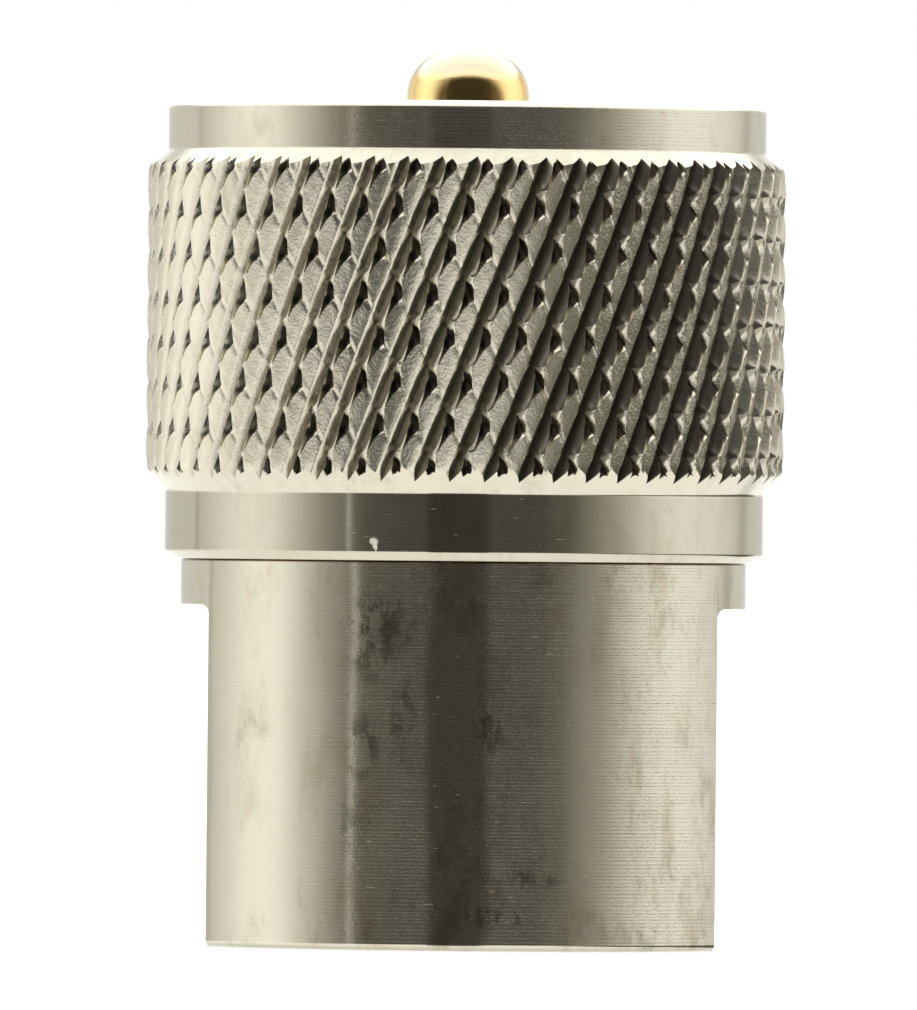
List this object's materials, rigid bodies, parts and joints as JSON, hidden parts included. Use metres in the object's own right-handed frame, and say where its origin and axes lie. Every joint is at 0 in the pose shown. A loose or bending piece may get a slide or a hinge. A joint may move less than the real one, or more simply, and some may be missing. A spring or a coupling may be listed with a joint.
{
  "type": "uhf plug",
  "caption": "Coaxial cable plug: a captive, diamond-knurled coupling nut turns on a round body with wrench flats, round a gold pin in a sleeve, with a cable gland in the rear.",
  "frame": {"origin": "centre of the plug body's rear face, on the axis", "axes": "+Z along the axis towards the pin, X through the two wrench flats, -Y the side that the picture shows"},
  "size_m": [0.019, 0.019, 0.0268],
  "materials": {
    "nut_nickel": "satin nickel plate on knurled brass",
    "body_nickel": "satin nickel plate on turned brass",
    "ring_bronze": "bare phosphor bronze",
    "contact_gold": "polished gold plate",
    "front_ptfe": "turned white plastic",
    "rear_ptfe": "turned white plastic",
    "clamp_nickel": "nickel plate",
    "gasket_rubber": "moulded black rubber",
    "washer_nickel": "nickel plate",
    "gland_nickel": "nickel plate"
  },
  "bodies": {
    "plug": {"plug_body": "body_nickel", "front_insulator": "front_ptfe", "rear_insulator": "rear_ptfe", "centre_contact": "contact_gold", "braid_clamp": "clamp_nickel", "cable_gasket": "gasket_rubber", "slip_washer": "washer_nickel", "gland_nut": "gland_nickel"},
    "ring": {"retaining_ring": "ring_bronze"},
    "nut": {"coupling_nut": "nut_nickel"}
  },
  "joints": [
    {"name": "nut_slide", "type": "slide", "parent": "plug", "child": "ring", "axis": [0, 0, 1], "range_m": [0, 0.001]},
    {"name": "nut_spin", "type": "hinge", "parent": "ring", "child": "nut", "pos_m": [0, 0, 0.01151], "axis": [0, 0, 1], "continuous": true}
  ]
}
